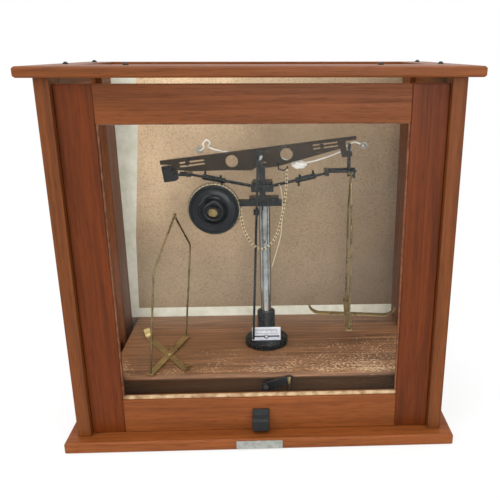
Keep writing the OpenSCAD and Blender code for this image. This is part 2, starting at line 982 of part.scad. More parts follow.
// wire bow, its top ring at the origin, feet bow_h below
module bow() {
  h = bow_w / 2;
  k = -bow_h + knee_h;
  difference() {
    union() {
      translate([-0.8, 0, 0])
        rotate([0, 90, 0])
          cylinder(h = 1.6, r = ring_r);
      for (s = [-1, 1])
        way([[0, s * 2, -1.6], [0, s * (h - 3), k], [0, s * h, k - 4], [0, s * h, -bow_h]],
          wire_r, [1, 0, 0]);
    }
    translate([-3, 0, 0])
      rotate([0, 90, 0])
        cylinder(h = 6, r = hang_pin_r + play);
  }
}

// outline of a flat strap whose ends curve up, seen from its side
function curved_strap(l) = let (r = strap_up / (1 - cos(bend_a)), q = r - strap_t) concat(
  [for (a = [bend_a : -15 : 0]) [-l / 2 - r * sin(a), r - r * cos(a)]],
  [for (a = [0 : 15 : bend_a]) [l / 2 + r * sin(a), r - r * cos(a)]],
  [for (a = [bend_a : -15 : 0]) [l / 2 + q * sin(a), r - q * cos(a)]],
  [for (a = [0 : 15 : bend_a]) [-l / 2 - q * sin(a), r - q * cos(a)]]);
function plain_strap(l) = [[-l / 2, 0], [l / 2, 0], [l / 2, strap_t], [-l / 2, strap_t]];

// two crossed straps: the lower one has turned-up ends, the upper one carries the feet of the bow
module cross(l, turn, shift) {
  rotate([0, 0, turn])
    translate([shift, strap_w / 2, 0])
      rotate([90, 0, 0])
        linear_extrude(strap_w)
          polygon(curved_strap(l));
  translate([0, 0, strap_t])
    rotate([0, 0, 90])
      translate([0, strap_w / 2, 0])
        rotate([90, 0, 0])
          linear_extrude(strap_w)
            polygon(plain_strap(bow_w + 4));
  translate([0, 0, 2 * strap_t])
    cylinder(h = 0.9, d = 4.4);
}

module right_bow() {
  color("#8C7F55")
    translate([ring_x, bal_y, hang_z])
      rotate([0, 0, right_turn])
        bow();
}

module right_cross() {
  color("#B5A66C")
    translate([ring_x, bal_y, hang_z - bow_h - 2 * strap_t])
      rotate([0, 0, right_turn])
        cross(right_strap_l, right_strap_turn, right_strap_shift);
}

module left_bow() {
  color("#8C7F55")
    translate([left_x, left_y, floor_top + play + 2 * strap_t])
      rotate([0, 0, left_turn])
        intersection() {
          rotate([0, left_lean, 0])
            translate([0, 0, bow_h])
              bow();
          box_between([-60, -90, 0], [60, 90, bow_h + 20]);
        }
}

module left_cross() {
  color("#B5A66C")
    translate([left_x, left_y, floor_top + play])
      rotate([0, 0, left_turn])
        cross(strap_l, left_strap_turn, left_strap_shift);
}

module tag(x, y, z, a) {
  translate([x, y, z])
    rotate([90, a, 0])
      difference() {
        translate([-4.6, -4.6, -0.4])
          cube([9.2, 9.2, 0.8]);
        translate([0, 0, -1])
          cylinder(h = 2, r = 1.2);
      }
}

module tie_cord() {
  color("#E8E6DC") {
    way(tie_left, 0.9);
    way(tie_right, 0.9);
    tag(-69.5, 10, 324, 20);
    tag(127, 8, 328, -15);
  }
}

module tie_wrap() {
  color("#EFEDE4")
    rod([40, 12.5, 304], [59, 12.5, 307], 4.6, 3.6);
}

module loose_thread() {
  color("#D8D2BC")
    way(thread_way, 0.5);
}
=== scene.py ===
import json
import math
import random

import bmesh
import bpy
from mathutils import Matrix, Vector

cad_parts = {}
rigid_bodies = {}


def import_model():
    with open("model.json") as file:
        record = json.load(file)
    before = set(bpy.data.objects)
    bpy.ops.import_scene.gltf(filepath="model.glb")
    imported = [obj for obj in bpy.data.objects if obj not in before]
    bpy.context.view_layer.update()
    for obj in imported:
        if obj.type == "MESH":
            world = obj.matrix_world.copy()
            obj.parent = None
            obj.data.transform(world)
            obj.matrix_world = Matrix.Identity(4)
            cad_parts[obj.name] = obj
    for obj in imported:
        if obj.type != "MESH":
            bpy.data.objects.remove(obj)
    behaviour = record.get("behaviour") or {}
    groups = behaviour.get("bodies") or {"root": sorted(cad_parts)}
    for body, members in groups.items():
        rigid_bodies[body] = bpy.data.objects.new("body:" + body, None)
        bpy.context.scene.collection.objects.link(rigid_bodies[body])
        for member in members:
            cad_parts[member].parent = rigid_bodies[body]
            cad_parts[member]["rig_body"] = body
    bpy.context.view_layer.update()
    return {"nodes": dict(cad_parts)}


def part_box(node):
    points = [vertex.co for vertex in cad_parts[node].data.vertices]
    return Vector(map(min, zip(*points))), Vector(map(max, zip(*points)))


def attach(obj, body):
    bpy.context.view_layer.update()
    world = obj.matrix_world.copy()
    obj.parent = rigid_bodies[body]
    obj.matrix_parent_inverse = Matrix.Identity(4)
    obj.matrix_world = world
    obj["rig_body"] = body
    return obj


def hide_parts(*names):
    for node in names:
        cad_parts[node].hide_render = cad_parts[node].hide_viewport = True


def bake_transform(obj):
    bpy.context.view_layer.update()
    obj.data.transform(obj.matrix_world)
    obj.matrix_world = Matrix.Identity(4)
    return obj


bl_info = {
    "name": "Glazed beam balance",
    "version": (1, 0, 0),
    "blender": (4, 5, 0),
    "location": "3D View > Sidebar > Balance",
    "description": "Dresses an equal-arm beam balance in its glazed wooden case",
    "category": "Object",
}

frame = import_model()
NODES = frame["nodes"]
MM = 0.001

# Courses of the slack chain, the tie cord and the loose thread, in millimetres
CHAIN_WAY = (
    (-21, -10, 259), (-21.6, -10.5, 249), (-17.5, -11, 229), (-10.5, -11.5, 215.5), (-4, -11.2, 208.5),
    (3, -10.5, 205.6), (12.5, -8, 210), (22.5, -4, 224), (29.5, 0, 252), (33.5, 4, 279), (34.6, 5.6, 300.5),
)
TIE_LEFT = (
    (-68, 10, 323), (-64, 10, 327), (-65, 10, 331), (-61, 10, 335.5), (-57, 11, 332), (-58, 13, 326),
    (-34, 14.5, 320), (0, 14.5, 322), (30, 14.5, 312), (44, 14, 306),
)
TIE_RIGHT = (
    (52, 13, 306), (72, 14, 310), (98, 15, 319), (104, 16.2, 324), (113, 16.2, 330), (119, 12, 331),
    (126, 8, 328),
)
THREAD_WAY = (
    (25, 7.6, 281.5), (27, 4.4, 278), (28.6, 3.5, 263), (27.6, 3, 229), (24.8, 3, 212), (18.5, 3, 190),
    (15, 3, 178),
)

# A wire bow in millimetres: half its width, its height, its bends' height, its wire and its eye's radius
BOW_HALF, BOW_HEIGHT, BOW_KNEE, BOW_WIRE, BOW_EYE = 52, 181, 134, 2.4, 2.6
# Where each bow's feet or eye stand, its turn and lean in degrees, and how far its eye is above that place
BOWS = {
    "left": ((-115.5, -25, 73.1), -16, 6, BOW_HEIGHT),
    "right": ((112.6, 10, 291.7), -4.6, 0, 0),
}

# The print on the plate in millimetres: length of long and short ticks, the bar's thickness and its height
LONG_TICK, SHORT_TICK, BAR, BAR_HEIGHT = 4.4, 2.4, 2.0, 4.6
# A tooth of the wheel's rim, across, along the axle and outwards, and how many there are
TOOTH, TEETH = (1.3, 1.0, 3.2), 72
# Thickness of the wound chain's solid, and its turns
WOUND_WIDTH, WOUND_TURNS = 2.4, 2

# The camera that the photograph's edges fit: place in metres, lens, shift, and its tilt and turn in radians
CAMERA_PLACE, LENS, SHIFT, TILT, TURN = (0.01694, -0.73256, 0.43635), 44.55, (-0.0962, 0.0056), 0.316, -0.042
# Lamps: place and width in metres, and power in watts
LAMPS = {
    "front_left_lamp": ((-1.3, -1.6, 1.5), 1.4, 15),
    "front_right_lamp": ((1.5, -1.2, 1.3), 1.2, 9),
    "front_low_lamp": ((0.3, -2.1, 0.5), 1.2, 16),
    "left_lamp": ((-1.5, -0.7, 0.9), 0.9, 9),
    "top_lamp": ((0.1, 0.0, 1.9), 1.6, 26),
}


def linear(hex_colour):
    """The linear colour of an sRGB hex value."""
    parts = [int(hex_colour[i:i + 2], 16) / 255 for i in (1, 3, 5)]
    return tuple(c / 12.92 if c <= 0.04045 else ((c + 0.055) / 1.055) ** 2.4 for c in parts)


def rgba(colour):
    return (*tuple(colour)[:3], 1.0)


def shade(colour, factor):
    return rgba([min(1.0, c * factor) for c in tuple(colour)[:3]])


class BalanceLook(bpy.types.PropertyGroup):
    """Sizes and colours of the finish."""

    rail_wood: bpy.props.FloatVectorProperty(
        name="Rail wood", description="Mahogany of the rails, posts and boards", subtype="COLOR",
        size=3, default=linear("#874B23"), min=0, max=1)
    stile_wood: bpy.props.FloatVectorProperty(
        name="Stile wood", description="Redder mahogany of the two sash stiles", subtype="COLOR",
        size=3, default=linear("#6A300C"), min=0, max=1)
    floor_wood: bpy.props.FloatVectorProperty(
        name="Floor wood", description="Dark varnish of the inner floor", subtype="COLOR", size=3,
        default=linear("#7E5638"), min=0, max=1)
    board_colour: bpy.props.FloatVectorProperty(
        name="Back board", description="Tan hardboard at the back", subtype="COLOR", size=3,
        default=linear("#C8B091"), min=0, max=1)
    beam_colour: bpy.props.FloatVectorProperty(
        name="Beam", description="Brown bronze of the beam", subtype="COLOR", size=3,
        default=linear("#302519"), min=0, max=1)
    brass_colour: bpy.props.FloatVectorProperty(
        name="Brass", description="Dull brass of the hangers", subtype="COLOR", size=3,
        default=linear("#8E7C52"), min=0, max=1)
    grain_width: bpy.props.FloatProperty(
        name="Grain width", description="Distance across one stripe of the wood grain", unit="LENGTH",
        default=3 * MM, min=1 * MM, max=20 * MM)
    grain_length: bpy.props.FloatProperty(
        name="Grain length", description="Length of one stripe of the wood grain", unit="LENGTH",
        default=300 * MM, min=20 * MM, max=900 * MM)
    edge_ease: bpy.props.FloatProperty(
        name="Eased edge", description="Rounding of the sawn edges", unit="LENGTH",
        default=0.8 * MM, min=0.1 * MM, max=2 * MM)
    link_pitch: bpy.props.FloatProperty(
        name="Link pitch", description="Distance between the middles of two chain links", unit="LENGTH",
        default=2.3 * MM, min=1 * MM, max=4 * MM)
    link_wire: bpy.props.FloatProperty(
        name="Link wire", description="Diameter of the wire of a chain link", unit="LENGTH",
        default=1.0 * MM, min=0.2 * MM, max=1.5 * MM)
    cord_width: bpy.props.FloatProperty(
        name="Cord width", description="Diameter of the white tie cord", unit="LENGTH",
        default=1.8 * MM, min=0.5 * MM, max=3 * MM)


def look():
    return bpy.context.scene.balance_look


def add(tree, kind, values=(), links=(), stops=(), **settings):
    """Adds a shader node with its settings, socket values, links and ramp stops."""
    node = tree.nodes.new(kind)
    for key, value in settings.items():
        setattr(node, key, value)
    for key, value in dict(values).items():
        node.inputs[key].default_value = value
    for key, output in dict(links).items():
        tree.links.new(output, node.inputs[key])
    for i, (place, colour) in enumerate(stops):
        if i >= len(node.color_ramp.elements):
            node.color_ramp.elements.new(place)
        node.color_ramp.elements[i].position = place
        node.color_ramp.elements[i].color = colour
    return node


def blank(name, roughness=0.5, metallic=0.0, **values):
    """A new material with its tree and its Principled surface."""
    material = bpy.data.materials.new(name)
    material.use_nodes = True
    tree = material.node_tree
    surface = tree.nodes["Principled BSDF"]
    surface.inputs["Roughness"].default_value = roughness
    surface.inputs["Metallic"].default_value = metallic
    for key, value in values.items():
        surface.inputs[key.replace("_", " ")].default_value = value
    return material, tree, surface


MADE = {}


def once(make):
    """Makes a material the first time that it is asked for."""
    def wrapped(*args):
        key = (make.__name__, args)
        if key not in MADE:
            MADE[key] = make(*args)
        return MADE[key]
    return wrapped


@once
def varnished_mahogany(tone, along):
    """Mahogany, planed and varnished: fine long stripes, short dark pores and a soft gloss; some parts take
    darker or lighter copies of the wood as painted shade and painted light.
    """
    # Lit and shaded copies of one wood: the head tone of the top boards and sash top rail, the posts and the
    # trough of floor bearers are darker copies as painted shade, and the plinth a lighter copy as painted
    # light.
    wood, dark, light = {
        "rail": (look().rail_wood, 0.58, 1.04),
        "stile": (look().stile_wood, 0.5, 1.05),
        "post": (look().rail_wood, 0.38, 0.7),
        "plinth": (look().rail_wood, 0.68, 1.12),
        "head": (look().rail_wood, 0.44, 0.82),
        "shaded": (look().rail_wood, 0.6, 1.0),
        "shaded_trough": (look().floor_wood, 0.36, 0.7),
    }[tone]
    material, tree, surface = blank("varnished_mahogany_" + tone + "_" + along, Specular_IOR_Level=0.15)
    axis = "XYZ".index(along)
    across, length = 1 / look().grain_width, 1 / look().grain_length
    where = add(tree, "ShaderNodeTexCoord")
    place = [
        add(tree, "ShaderNodeMapping",
            {"Scale": [length * run if i == axis else across * width for i in range(3)]},
            {"Vector": where.outputs["Object"]})
        for run, width in ((1.0, 0.12), (1.6, 0.7), (12.0, 3.2))]
    figure, stripes, pores = [
        add(tree, "ShaderNodeTexNoise",
            {"Scale": 1.0, "Detail": detail, "Roughness": 0.6, "Distortion": bend},
            {"Vector": spot.outputs["Vector"]})
        for spot, detail, bend in zip(place, (3.0, 4.0, 2.0), (0.9, 0.25, 0.0))]
    blended = add(
        tree, "ShaderNodeMix", {0: 0.58}, {2: figure.outputs["Fac"], 3: stripes.outputs["Fac"]})
    tones = add(
        tree, "ShaderNodeValToRGB", links={"Fac": blended.outputs[0]},
        stops=((0.36, shade(wood, dark)), (0.5, shade(wood, (dark + light) / 2)), (0.64, shade(wood, light))))
    pits = add(
        tree, "ShaderNodeValToRGB", links={"Fac": pores.outputs["Fac"]},
        stops=((0.36, (0.62, 0.55, 0.5, 1)), (0.47, (1, 1, 1, 1))))
    tinted = add(
        tree, "ShaderNodeMix", {0: 0.7}, {6: tones.outputs["Color"], 7: pits.outputs["Color"]},
        data_type="RGBA", blend_type="MULTIPLY")
    tree.links.new(tinted.outputs[2], surface.inputs["Base Color"])
    bump = add(
        tree, "ShaderNodeBump", {"Strength": 0.1, "Distance": 0.15 * MM}, {"Height": pores.outputs["Fac"]})
    tree.links.new(bump.outputs["Normal"], surface.inputs["Normal"])
    gloss = add(
        tree, "ShaderNodeMapRange", {"From Min": 0.3, "From Max": 0.7, "To Min": 0.5, "To Max": 0.32},
        {"Value": stripes.outputs["Fac"]})
    tree.links.new(gloss.outputs["Result"], surface.inputs["Roughness"])
    return material


@once
def worn_floor_varnish():
    """Dark varnished mahogany, scuffed to pale wood in short flakes, most of them at the front right; the
    faces below its nose are painted darker as shade.
    """
    material, tree, surface = blank("worn_floor_varnish", Specular_IOR_Level=0.3)
    dark = look().floor_wood
    low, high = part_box("floor_board")
    where = add(tree, "ShaderNodeTexCoord")
    parts = add(tree, "ShaderNodeSeparateXYZ", links={"Vector": where.outputs["Object"]})
    places = [
        add(tree, "ShaderNodeMapping",
            {"Scale": (1 / (long * MM), 1 / (wide * MM), 1 / (wide * MM)), "Rotation": (0, 0, turn)},
            {"Vector": where.outputs["Object"]})
        for long, wide, turn in ((90, 3, 0), (3.6, 1.6, 0.8), (38, 25, 0))]
    figure, flakes, drift = [
        add(tree, "ShaderNodeTexNoise", {"Scale": 1.0, "Detail": detail, "Roughness": 0.66},
            {"Vector": place.outputs["Vector"]})
        for place, detail in zip(places, (5.0, 3.0, 2.0))]
    varnish = add(
        tree, "ShaderNodeValToRGB", links={"Fac": figure.outputs["Fac"]},
        stops=((0.34, shade(dark, 0.46)), (0.5, shade(dark, 0.95)), (0.66, shade(dark, 1.6))))
    amount = flakes.outputs["Fac"]
    for value, start, end, least, most in (
            (drift.outputs["Fac"], 0.35, 0.65, -0.04, 0.04),
            (parts.outputs["X"], low.x * 0.6, high.x, -0.045, 0.045),
            (parts.outputs["Y"], low.y + 110 * MM, low.y + 8 * MM, -0.09, 0.05),
            (parts.outputs["Y"], low.y + 6 * MM, low.y + 1 * MM, 0.0, -0.14)):
        share = add(
            tree, "ShaderNodeMapRange", {"From Min": start, "From Max": end, "To Min": least, "To Max": most},
            {"Value": value})
        amount = add(
            tree, "ShaderNodeMath", links={0: amount, 1: share.outputs["Result"]}, operation="ADD").outputs[0]
    bare = add(
        tree, "ShaderNodeValToRGB", links={"Fac": amount},
        stops=((0.595, (0, 0, 0, 1)), (0.625, (1, 1, 1, 1))))
    pale = add(
        tree, "ShaderNodeValToRGB", links={"Fac": figure.outputs["Fac"]},
        stops=((0.3, rgba(linear("#C4976B"))), (0.7, rgba(linear("#F0D2A8")))))
    chipped = add(
        tree, "ShaderNodeMix",
        links={0: bare.outputs["Color"], 6: varnish.outputs["Color"], 7: pale.outputs["Color"]},
        data_type="RGBA")
    # Painted shade: below the nose the faces are painted a flat dark varnish.
    shade_below_nose = add(
        tree, "ShaderNodeMapRange", {"From Min": high.z - 2.6 * MM, "From Max": high.z - 4.2 * MM},
        {"Value": parts.outputs["Z"]})
    shaded_below_nose = add(
        tree, "ShaderNodeMix", {7: shade(dark, 0.5)}, {0: shade_below_nose.outputs["Result"], 6: chipped.outputs[2]},
        data_type="RGBA")
    tree.links.new(shaded_below_nose.outputs[2], surface.inputs["Base Color"])
    dulled = add(
        tree, "ShaderNodeMapRange", {"To Min": 0.3, "To Max": 0.75}, {"Value": bare.outputs["Color"]})
    tree.links.new(dulled.outputs["Result"], surface.inputs["Roughness"])
    bump = add(
        tree, "ShaderNodeBump", {"Strength": 0.3, "Distance": 0.25 * MM}, {"Height": bare.outputs["Color"]},
        invert=True)
    tree.links.new(bump.outputs["Normal"], surface.inputs["Normal"])
    return material


@once
def mottled(name, dark, light, size_mm, roughness, metallic, depth_mm, shine=0.5):
    """A surface of two close tones in soft patches, with a slight relief of the same grain."""
    material, tree, surface = blank(name, roughness=roughness, metallic=metallic, Specular_IOR_Level=shine)
    where = add(tree, "ShaderNodeTexCoord")
    patches = add(
        tree, "ShaderNodeTexNoise", {"Scale": 1 / (size_mm * MM), "Detail": 6.0, "Roughness": 0.6},
        {"Vector": where.outputs["Object"]})
    tone = add(
        tree, "ShaderNodeValToRGB", links={"Fac": patches.outputs["Fac"]},
        stops=((0.35, rgba(dark)), (0.68, rgba(light))))
    tree.links.new(tone.outputs["Color"], surface.inputs["Base Color"])
    rough = add(
        tree, "ShaderNodeMapRange",
        {"From Min": 0.3, "From Max": 0.7, "To Min": max(0.04, roughness - 0.07), "To Max": roughness + 0.09},
        {"Value": patches.outputs["Fac"]})
    tree.links.new(rough.outputs["Result"], surface.inputs["Roughness"])
    if depth_mm > 0:
        bump = add(
            tree, "ShaderNodeBump", {"Strength": 0.5, "Distance": depth_mm * MM},
            {"Height": patches.outputs["Fac"]})
        tree.links.new(bump.outputs["Normal"], surface.inputs["Normal"])
    return material


@once
def hardboard():
    """Pressed tan hardboard, dull and flecked with fibre; painted light makes it palest at the upper left,
    and painted shade makes it darker and greyer low down.
    """
    material, tree, surface = blank("pressed_hardboard", roughness=0.82, Specular_IOR_Level=0.3)
    board = look().board_colour
    low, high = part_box("back_panel")
    where = add(tree, "ShaderNodeTexCoord")
    parts = add(tree, "ShaderNodeSeparateXYZ", links={"Vector": where.outputs["Object"]})
    across, down = [
        add(tree, "ShaderNodeMapRange", {"From Min": start, "From Max": end, "To Max": 0.5},
            {"Value": parts.outputs[axis]})
        for axis, start, end in (("X", low.x, high.x), ("Z", high.z, low.z))]
    slant = add(
        tree, "ShaderNodeMath", links={0: across.outputs["Result"], 1: down.outputs["Result"]},
        operation="ADD")
    # Painted light and shade: a slope from the upper left, lit paler than the board, to the lower right,
    # shaded darker and greyer.
    lit_and_shaded_slope = add(
        tree, "ShaderNodeValToRGB", links={"Fac": slant.outputs[0]},
        stops=((0.1, shade(board, 1.6)), (0.36, shade(board, 0.76)), (0.85, rgba(linear("#8A7763")))))
    clouds, flecks = [
        add(tree, "ShaderNodeTexNoise", {"Scale": 1 / (size * MM), "Detail": detail, "Roughness": 0.65},
            {"Vector": where.outputs["Object"]})
        for size, detail in ((90, 2.0), (1.9, 5.0))]
    cloudy = ((0.35, (0.86, 0.85, 0.83, 1)), (0.65, (1.08, 1.07, 1.05, 1)))
    flecked = ((0.33, (0.62, 0.57, 0.52, 1)), (0.47, (0.96, 0.95, 0.94, 1)), (0.7, (1.1, 1.08, 1.05, 1)))
    tints = [
        add(tree, "ShaderNodeValToRGB", links={"Fac": noise.outputs["Fac"]}, stops=stops)
        for noise, stops in ((clouds, cloudy), (flecks, flecked))]
    colour = lit_and_shaded_slope.outputs["Color"]
    for tint in tints:
        colour = add(
            tree, "ShaderNodeMix", {0: 1.0}, {6: colour, 7: tint.outputs["Color"]}, data_type="RGBA",
            blend_type="MULTIPLY").outputs[2]
    tree.links.new(colour, surface.inputs["Base Color"])
    bump = add(
        tree, "ShaderNodeBump", {"Strength": 0.25, "Distance": 0.1 * MM}, {"Height": flecks.outputs["Fac"]})
    tree.links.new(bump.outputs["Normal"], surface.inputs["Normal"])
    return material


def gummed_tape():
    """Gummed paper tape gone pale green: dull, with faint stains and long creases."""
    return mottled("gummed_paper_tape", linear("#E2E4CE"), linear("#F8F7E8"), 16, 0.72, 0.0, 0.2)


def japanned():
    """Black japanned metal: deep bluish black lacquer with a soft shine."""
    return mottled("black_japanned_metal", linear("#060809"), linear("#111417"), 9, 0.28, 0.0, 0.02, 0.28)


def moulded_ebonite():
    """Moulded and turned ebonite of the wheel: blue-black, smooth, with a clear shine."""
    return mottled("turned_ebonite", linear("#04070B"), linear("#0A1017"), 12, 0.18, 0.0, 0.0, 0.26)


def moulded_rubber():
    """Moulded black rubber: dark and dull."""
    return mottled("moulded_black_rubber", linear("#0C0E0F"), linear("#181B1D"), 4, 0.5, 0.0, 0.05, 0.3)


def nickel_plate():
    """Nickel plate, polished: it mirrors the case in dark and bright stripes, and is a little clouded."""
    return mottled("polished_nickel_plate", linear("#8B8D8A"), linear("#ABADAA"), 14, 0.07, 1.0, 0.0)


def bright_steel():
    """Ground steel with a fine grey clouding."""
    return mottled("ground_steel", linear("#77797A"), linear("#A2A4A5"), 5, 0.3, 1.0, 0.0)


def bronzed_brass():
    """Beam brass chemically bronzed to brown: dull, with lighter rubbed patches."""
    beam = tuple(look().beam_colour)
    return mottled("bronzed_brass", shade(beam, 0.6)[:3], shade(beam, 1.25)[:3], 13, 0.42, 0.3, 0.03, 0.3)


def old_brass():
    """Drawn brass left to tarnish: yellow brown in dull patches."""
    brass = tuple(look().brass_colour)
    return mottled("tarnished_brass", shade(brass, 0.5)[:3], shade(brass, 1.1)[:3], 22, 0.27, 0.9, 0.01)


def rubbed_brass():
    """Rolled brass strip rubbed bright by handling, with brown left in patches."""
    brass = tuple(look().brass_colour)
    return mottled("rubbed_brass_strip", shade(brass, 1.0)[:3], shade(brass, 1.9)[:3], 26, 0.3, 0.85, 0.01)


def chain_brass():
    """Bright brass wire of the fine chain, used for its lit links; every second link is painted dark as
    shade.
    """
    return mottled("bright_brass_wire", linear("#D2BC84"), linear("#F2E6C2"), 3, 0.35, 0.55, 0.0)


def white_enamel():
    """White printed enamel of the graduated plate."""
    return mottled("white_enamel", linear("#D2D8E2"), linear("#EDF0F5"), 10, 0.28, 0.0, 0.0)


def printed_ink():
    """Black printing ink baked on the enamel, flat and soft at its edge."""
    return mottled("baked_printing_ink", linear("#16181C"), linear("#2A2D33"), 3, 0.5, 0.0, 0.0)


def plate_metal():
    """Rolled white metal of the blank name plate."""
    return mottled("rolled_white_metal", linear("#84867F"), linear("#A4A6A0"), 6, 0.35, 0.3, 0.02)


def polished_agate():
    """Polished agate, dark and glossy with brown bands."""
    return mottled("polished_agate", linear("#2A221D"), linear("#5C4838"), 4, 0.14, 0.0, 0.0)


def cotton(name, dark, light):
    """Twisted cotton: off-white strands with a rough, dull face."""
    return mottled(name, linear(dark), linear(light), 1.6, 0.85, 0.0, 0.25)


def glazing_bead():
    """Thin reddish varnished bead at the sides and top; its worn foot is bare pale wood."""
    material, tree, surface = blank("worn_glazing_bead", roughness=0.6)
    where = add(tree, "ShaderNodeTexCoord")
    parts = add(tree, "ShaderNodeSeparateXYZ", links={"Vector": where.outputs["Object"]})
    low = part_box("sash_bead")[0]
    foot = add(
        tree, "ShaderNodeMapRange", {"From Min": low.z + 4.5 * MM, "From Max": low.z + 3.2 * MM},
        {"Value": parts.outputs["Z"]})
    grain = add(
        tree, "ShaderNodeTexNoise", {"Scale": 1 / (7 * MM), "Detail": 5.0},
        {"Vector": where.outputs["Object"]})
    worn, varnished = [
        add(tree, "ShaderNodeValToRGB", links={"Fac": grain.outputs["Fac"]},
            stops=((0.36, rgba(linear(dark))), (0.6, rgba(linear(light)))))
        for dark, light in (("#94704C", "#C8AE88"), ("#5E321C", "#8A5838"))]
    tone = add(
        tree, "ShaderNodeMix",
        links={0: foot.outputs["Result"], 6: varnished.outputs["Color"], 7: worn.outputs["Color"]},
        data_type="RGBA")
    tree.links.new(tone.outputs[2], surface.inputs["Base Color"])
    return material


@once
def sheet_glass():
    """Thin drawn sheet glass: clear, with faint slanting wipe marks and more shine seen at a slant."""
    material, tree, surface = blank("drawn_sheet_glass", roughness=0.03)
    surface.inputs["Base Color"].default_value = rgba(linear("#9FA8A2"))
    where = add(tree, "ShaderNodeTexCoord")
    slanted = add(
        tree, "ShaderNodeMapping", {"Rotation": (0, math.radians(16), 0), "Scale": (1.6, 1.6, 13)},
        {"Vector": where.outputs["Object"]})
    marks = add(
        tree, "ShaderNodeTexNoise", {"Scale": 1.0, "Detail": 2.0, "Roughness": 0.4},
        {"Vector": slanted.outputs["Vector"]})
    wiped = add(
        tree, "ShaderNodeMapRange", {"From Min": 0.42, "From Max": 0.7, "To Min": 0.003, "To Max": 0.03},
        {"Value": marks.outputs["Fac"]})
    facing = add(tree, "ShaderNodeLayerWeight", {"Blend": 0.25})
    rim = add(
        tree, "ShaderNodeMapRange", {"From Min": 0.05, "From Max": 1.0, "To Min": 0.0, "To Max": 0.1},
        {"Value": facing.outputs["Fresnel"]})
    both = add(
        tree, "ShaderNodeMath", links={0: wiped.outputs["Result"], 1: rim.outputs["Result"]}, operation="ADD")
    tree.links.new(both.outputs[0], surface.inputs["Alpha"])
    return material


def link_object(name, data, material=None):
    thing = bpy.data.objects.new(name, data)
    bpy.context.scene.collection.objects.link(thing)
    if material is not None:
        thing.data.materials.append(material)
    return thing


def seat(thing, body, slot, *nodes):
    """Rides a finished piece on its body and hides the nodes of the frame that it stands in for."""
    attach(thing, body)
    if nodes:
        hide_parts(*nodes)
    return thing


def paint(node, material):
    """Gives a node of the frame its finish."""
    NODES[node].data.materials.clear()
    NODES[node].data.materials.append(material)


def body_of(node):
    return NODES[node]["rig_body"]


def eased(node, material, slot, ease=None, sharp=0.45, segments=2):
    """Stands a copy with eased edges, shaded as they lie, in for a node of the frame."""
    ease = look().edge_ease if ease is None else ease
    work = bmesh.new()
    work.from_mesh(NODES[node].data)
    bmesh.ops.remove_doubles(work, verts=work.verts, dist=0.002 * MM)
    bmesh.ops.dissolve_limit(work, angle_limit=0.01, verts=work.verts, edges=work.edges)
    edges = [e for e in work.edges if len(e.link_faces) == 2 and e.calc_face_angle(0) > sharp]
    bmesh.ops.bevel(
        work, geom=edges, offset=ease, segments=segments, profile=0.5, affect="EDGES", clamp_overlap=True)
    mesh = bpy.data.meshes.new(node + "_eased")
    work.to_mesh(mesh)
    work.free()
    if "custom_normal" in mesh.attributes:
        mesh.attributes.remove(mesh.attributes["custom_normal"])
    thing = link_object(node + "_eased", mesh, material)
    return seat(thing, body_of(node), slot, node)


def smooth_way(points, steps=8):
    """A smooth course through given points, in metres."""
    points = [Vector(p) * MM for p in points]
    ends = [2 * points[0] - points[1]] + points + [2 * points[-1] - points[-2]]
    course = []
    for i in range(1, len(ends) - 2):
        a, b, c, d = ends[i - 1:i + 3]
        for k in range(steps):
            t = k / steps
            course.append(0.5 * (2 * b + (c - a) * t + (2 * a - 5 * b + 4 * c - d) * t ** 2
                                 + (3 * b - a - 3 * c + d) * t ** 3))
    return course + [points[-1]]


def course_length(course):
    return sum((b - a).length for a, b in zip(course, course[1:]))


def wire(name, course, radius, material):
    """A round wire or cord along a course."""
    curve = bpy.data.curves.new(name, "CURVE")
    curve.dimensions = "3D"
    spline = curve.splines.new("POLY")
    spline.points.add(len(course) - 1)
    for point, place in zip(spline.points, course):
        point.co = (*place, 1)
    curve.bevel_depth = radius
    curve.bevel_resolution = 4
    curve.use_fill_caps = True
    return link_object(name, curve, material)


def rounded(points, times=3):
    """A course with its corners cut to smooth bends, its two ends left where they are."""
    for _ in range(times):
        cut = [points[0]]
        for a, b in zip(points, points[1:]):
            cut += [a.lerp(b, 0.25), a.lerp(b, 0.75)]
        points = cut + [points[-1]]
    return points


def add_link(work, place, along, side, length, width, thick, finish, around=12, tube=6):
    """Adds one oval chain link, in one of two finishes (bright brass as a lit link, or dark bronze as painted
    shade), to a mesh being made.
    """
    along = along.normalized()
    side = (side - along * side.dot(along)).normalized()
    out = along.cross(side)
    rows = []
    for i in range(around):
        a = 2 * math.pi * i / around
        middle = along * (math.cos(a) * length) + side * (math.sin(a) * width)
        outward = (along * math.cos(a) + side * math.sin(a)).normalized()
        rows.append([
            work.verts.new(place + middle + outward * (math.cos(b) * thick) + out * (math.sin(b) * thick))
            for b in (2 * math.pi * k / tube for k in range(tube))])
    for i in range(around):
        row, following = rows[i], rows[(i + 1) % around]
        for k in range(tube):
            face = work.faces.new((row[k], following[k], following[(k + 1) % tube], row[(k + 1) % tube]))
            # Slot 0 is the lit bright brass, slot 1 the dark bronze painted as shade.
            face.material_index = finish


def finished(name, work, material, smooth=False):
    """Turns a mesh being made into an object."""
    bmesh.ops.recalc_face_normals(work, faces=work.faces)
    mesh = bpy.data.meshes.new(name)
    work.to_mesh(mesh)
    work.free()
    for face in mesh.polygons:
        face.use_smooth = smooth
    return link_object(name, mesh, material)


